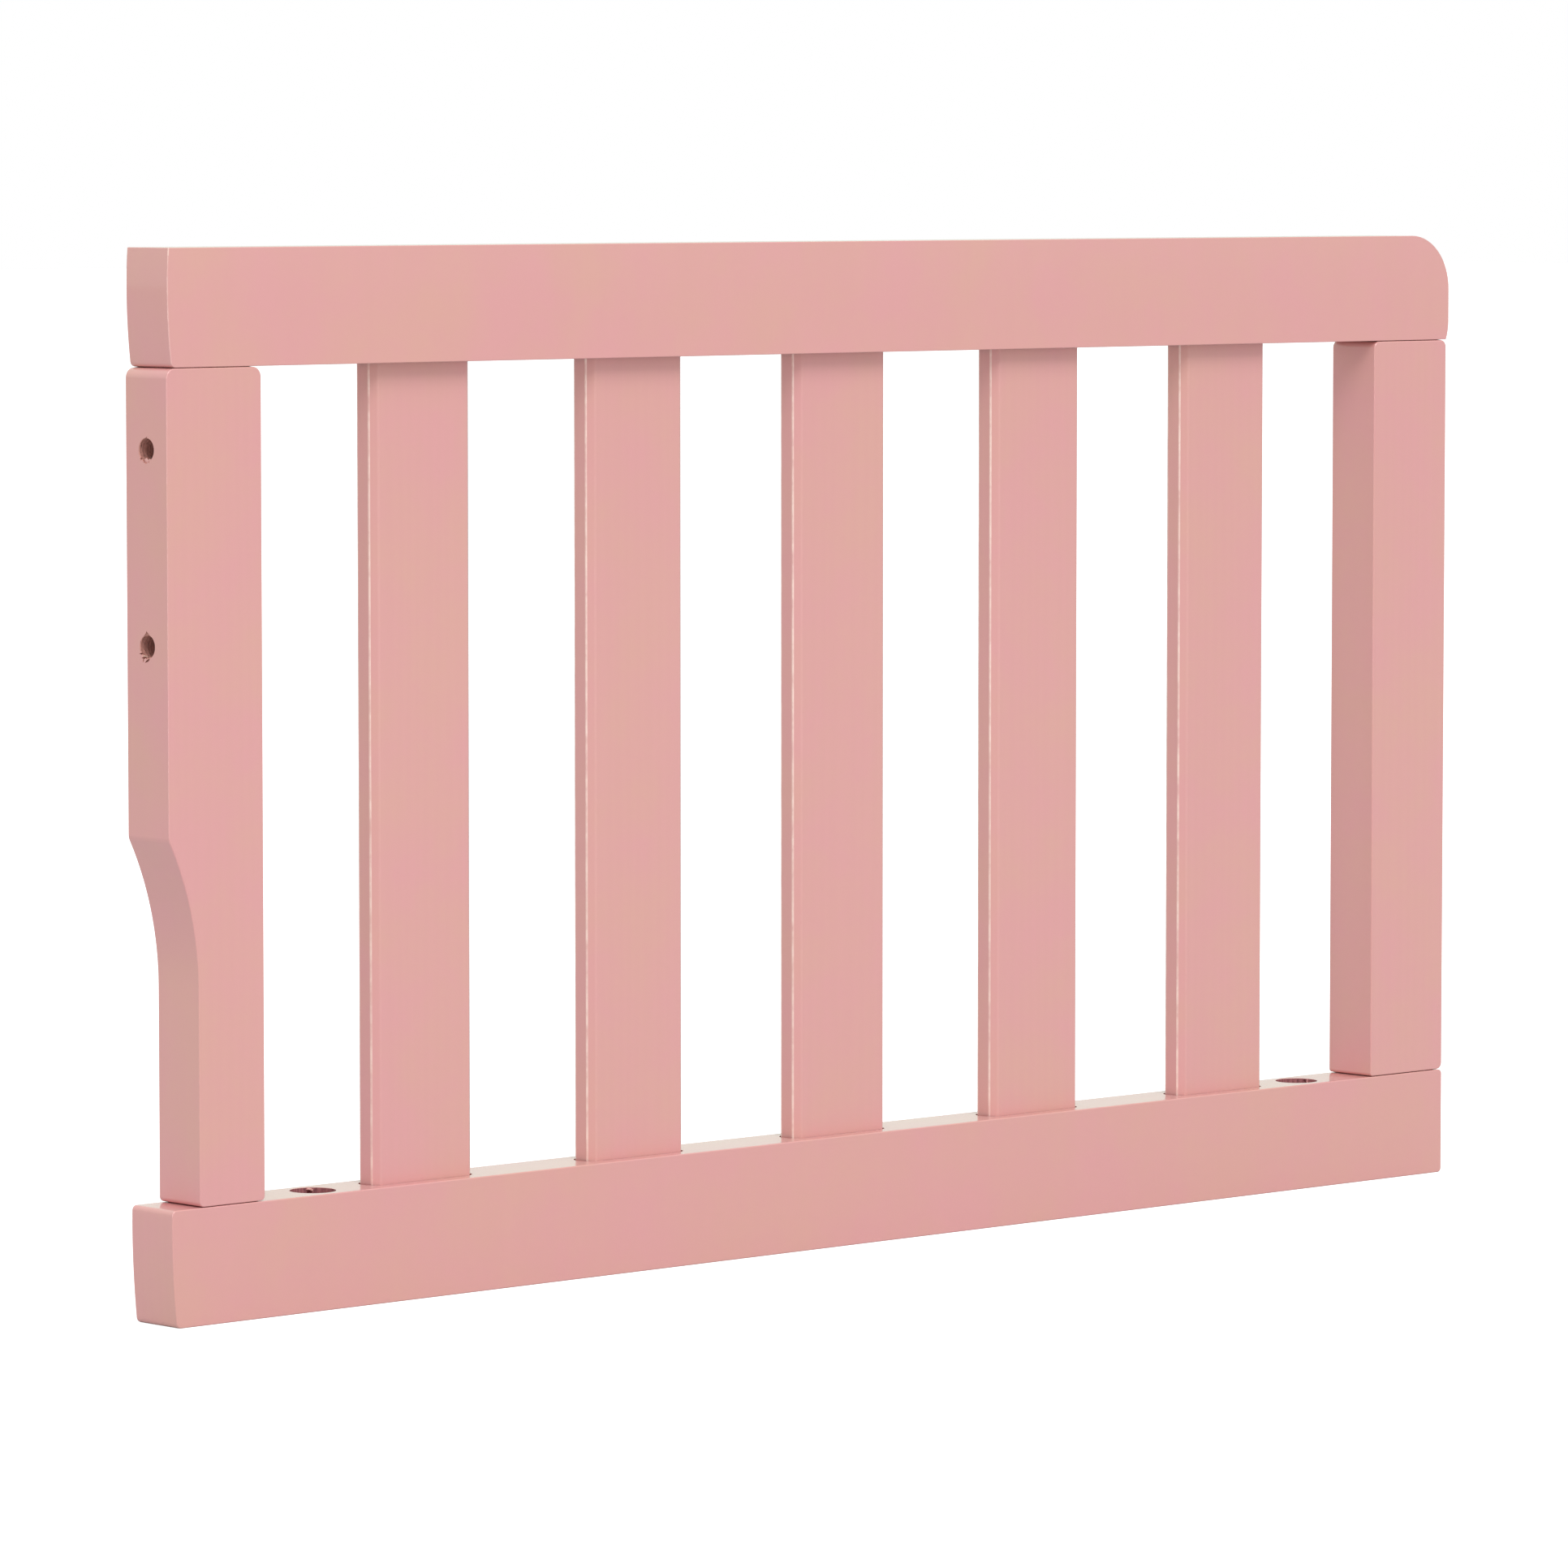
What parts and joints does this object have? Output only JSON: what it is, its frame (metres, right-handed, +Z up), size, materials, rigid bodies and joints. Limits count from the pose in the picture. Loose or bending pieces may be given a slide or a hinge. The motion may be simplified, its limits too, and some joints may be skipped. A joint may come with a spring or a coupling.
{
  "type": "toddler bed guard rail",
  "caption": "Short painted wooden guard rail for a toddler bed: flat upright slats between two rails, one post notched at its foot and drilled for fixing bolts.",
  "frame": {"origin": "middle of the footprint, on the underside of the bottom rail", "axes": "+X along the rail towards its round-cornered end, +Y through the thickness towards the back, +Z up"},
  "size_m": [0.6112, 0.0216, 0.3521],
  "materials": {
    "painted_wood": "satin coral pink lacquer over sanded solid wood",
    "raw_wood": "bare turned beech"
  },
  "bodies": {
    "root": {"top_rail": "painted_wood", "bottom_rail": "painted_wood", "left_post": "painted_wood", "right_post": "painted_wood", "slat_1": "painted_wood", "slat_2": "painted_wood", "slat_3": "painted_wood", "slat_4": "painted_wood", "slat_5": "painted_wood", "dowel_upper_left_outer": "raw_wood", "dowel_upper_left_inner": "raw_wood", "dowel_upper_right_inner": "raw_wood", "dowel_upper_right_outer": "raw_wood", "dowel_lower_left_outer": "raw_wood", "dowel_lower_left_inner": "raw_wood", "dowel_lower_right_inner": "raw_wood", "dowel_lower_right_outer": "raw_wood"}
  },
  "joints": []
}
